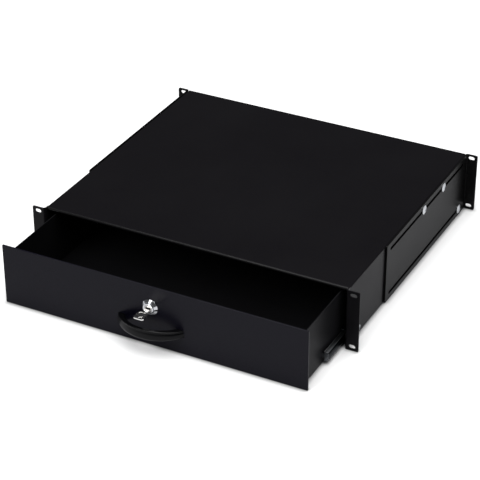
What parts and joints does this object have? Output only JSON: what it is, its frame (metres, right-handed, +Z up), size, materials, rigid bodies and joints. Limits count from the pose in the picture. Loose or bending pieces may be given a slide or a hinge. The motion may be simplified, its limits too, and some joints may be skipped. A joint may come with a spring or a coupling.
{
  "type": "sliding rack drawer",
  "caption": "Shallow rack drawer: black sheet-metal chassis with front ears, sliding tray with bow handle and key lock, ball slides and adjustable slotted rear brackets.",
  "frame": {"origin": "centre of the front ears' front plane, midway between the four mounting slots", "axes": "+X to the right seen from the front, +Y into the rack, +Z up"},
  "size_m": [0.4826, 0.5419, 0.088],
  "materials": {
    "black_coat": "satin fine-texture powder coat",
    "bracket_coat": "satin fine-texture powder coat",
    "zinc": "bright zinc plate",
    "slide_steel": "zinc-plated rolled steel",
    "ball_steel": "polished",
    "cage_steel": "plain",
    "lock_chrome": "polished",
    "key_nickel": "nickel plate",
    "handle_plastic": "fine grain",
    "rubber": "matte"
  },
  "bodies": {
    "housing": {"chassis_shell": "black_coat", "rear_panel": "black_coat", "lock_keeper": "black_coat", "rear_bumpers": "rubber", "slide_outer_left": "slide_steel", "slide_outer_right": "slide_steel", "bracket_screws": "zinc", "bracket_clinch_nuts": "zinc", "slide_screws": "zinc", "slide_rivets": "zinc"},
    "drawer": {"drawer_tray": "black_coat", "drawer_front_wall": "black_coat", "drawer_back": "black_coat", "front_panel": "black_coat", "panel_nuts": "zinc", "handle": "handle_plastic", "handle_screws": "zinc", "lock_barrel": "lock_chrome", "lock_collar": "lock_chrome", "lock_nut": "zinc", "slide_inner_left": "slide_steel", "slide_inner_right": "slide_steel", "slide_inner_rivets": "zinc"},
    "bracket_left": {"rear_bracket_left": "bracket_coat"},
    "bracket_right": {"rear_bracket_right": "bracket_coat"},
    "lock_cylinder": {"lock_plug": "lock_chrome", "lock_cam": "zinc", "cam_screw": "zinc"},
    "key_body": {"key": "key_nickel"},
    "middle_left": {"slide_middle_left": "slide_steel"},
    "cage_outer_left": {"slide_cage_outer_left": "cage_steel", "slide_balls_outer_left": "ball_steel"},
    "cage_inner_left": {"slide_cage_inner_left": "cage_steel", "slide_balls_inner_left": "ball_steel"},
    "middle_right": {"slide_middle_right": "slide_steel"},
    "cage_outer_right": {"slide_cage_outer_right": "cage_steel", "slide_balls_outer_right": "ball_steel"},
    "cage_inner_right": {"slide_cage_inner_right": "cage_steel", "slide_balls_inner_right": "ball_steel"}
  },
  "joints": [
    {"name": "drawer_slide", "type": "slide", "parent": "housing", "child": "drawer", "axis": [0, -1, 0], "range_m": [-0.1044, 0.2456]},
    {"name": "bracket_left_slide", "type": "slide", "parent": "housing", "child": "bracket_left", "axis": [0, 1, 0], "range_m": [-0.004, 0.112]},
    {"name": "bracket_right_slide", "type": "slide", "parent": "housing", "child": "bracket_right", "axis": [0, 1, 0], "range_m": [-0.004, 0.112]},
    {"name": "lock_turn", "type": "hinge", "parent": "drawer", "child": "lock_cylinder", "pos_m": [0, -0.1044, 0.0131], "axis": [0, 1, 0], "range_deg": [0, 90]},
    {"name": "key_withdraw", "type": "slide", "parent": "lock_cylinder", "child": "key_body", "axis": [0, -1, 0], "range_m": [0, 0.026]},
    {"name": "middle_left_slide", "type": "slide", "parent": "housing", "child": "middle_left", "axis": [0, -1, 0], "range_m": [-0.0523, 0.1229]},
    {"name": "cage_outer_left_slide", "type": "slide", "parent": "housing", "child": "cage_outer_left", "axis": [0, -1, 0], "range_m": [-0.0262, 0.0615]},
    {"name": "cage_inner_left_slide", "type": "slide", "parent": "housing", "child": "cage_inner_left", "axis": [0, -1, 0], "range_m": [-0.0784, 0.1843]},
    {"name": "middle_right_slide", "type": "slide", "parent": "housing", "child": "middle_right", "axis": [0, -1, 0], "range_m": [-0.0523, 0.1229]},
    {"name": "cage_outer_right_slide", "type": "slide", "parent": "housing", "child": "cage_outer_right", "axis": [0, -1, 0], "range_m": [-0.0262, 0.0615]},
    {"name": "cage_inner_right_slide", "type": "slide", "parent": "housing", "child": "cage_inner_right", "axis": [0, -1, 0], "range_m": [-0.0784, 0.1843]}
  ],
  "couplings": [
    {"joint": "middle_left_slide", "follows": "drawer_slide", "ratio": 0.5},
    {"joint": "cage_outer_left_slide", "follows": "drawer_slide", "ratio": 0.25},
    {"joint": "cage_inner_left_slide", "follows": "drawer_slide", "ratio": 0.75},
    {"joint": "middle_right_slide", "follows": "drawer_slide", "ratio": 0.5},
    {"joint": "cage_outer_right_slide", "follows": "drawer_slide", "ratio": 0.25},
    {"joint": "cage_inner_right_slide", "follows": "drawer_slide", "ratio": 0.75}
  ]
}
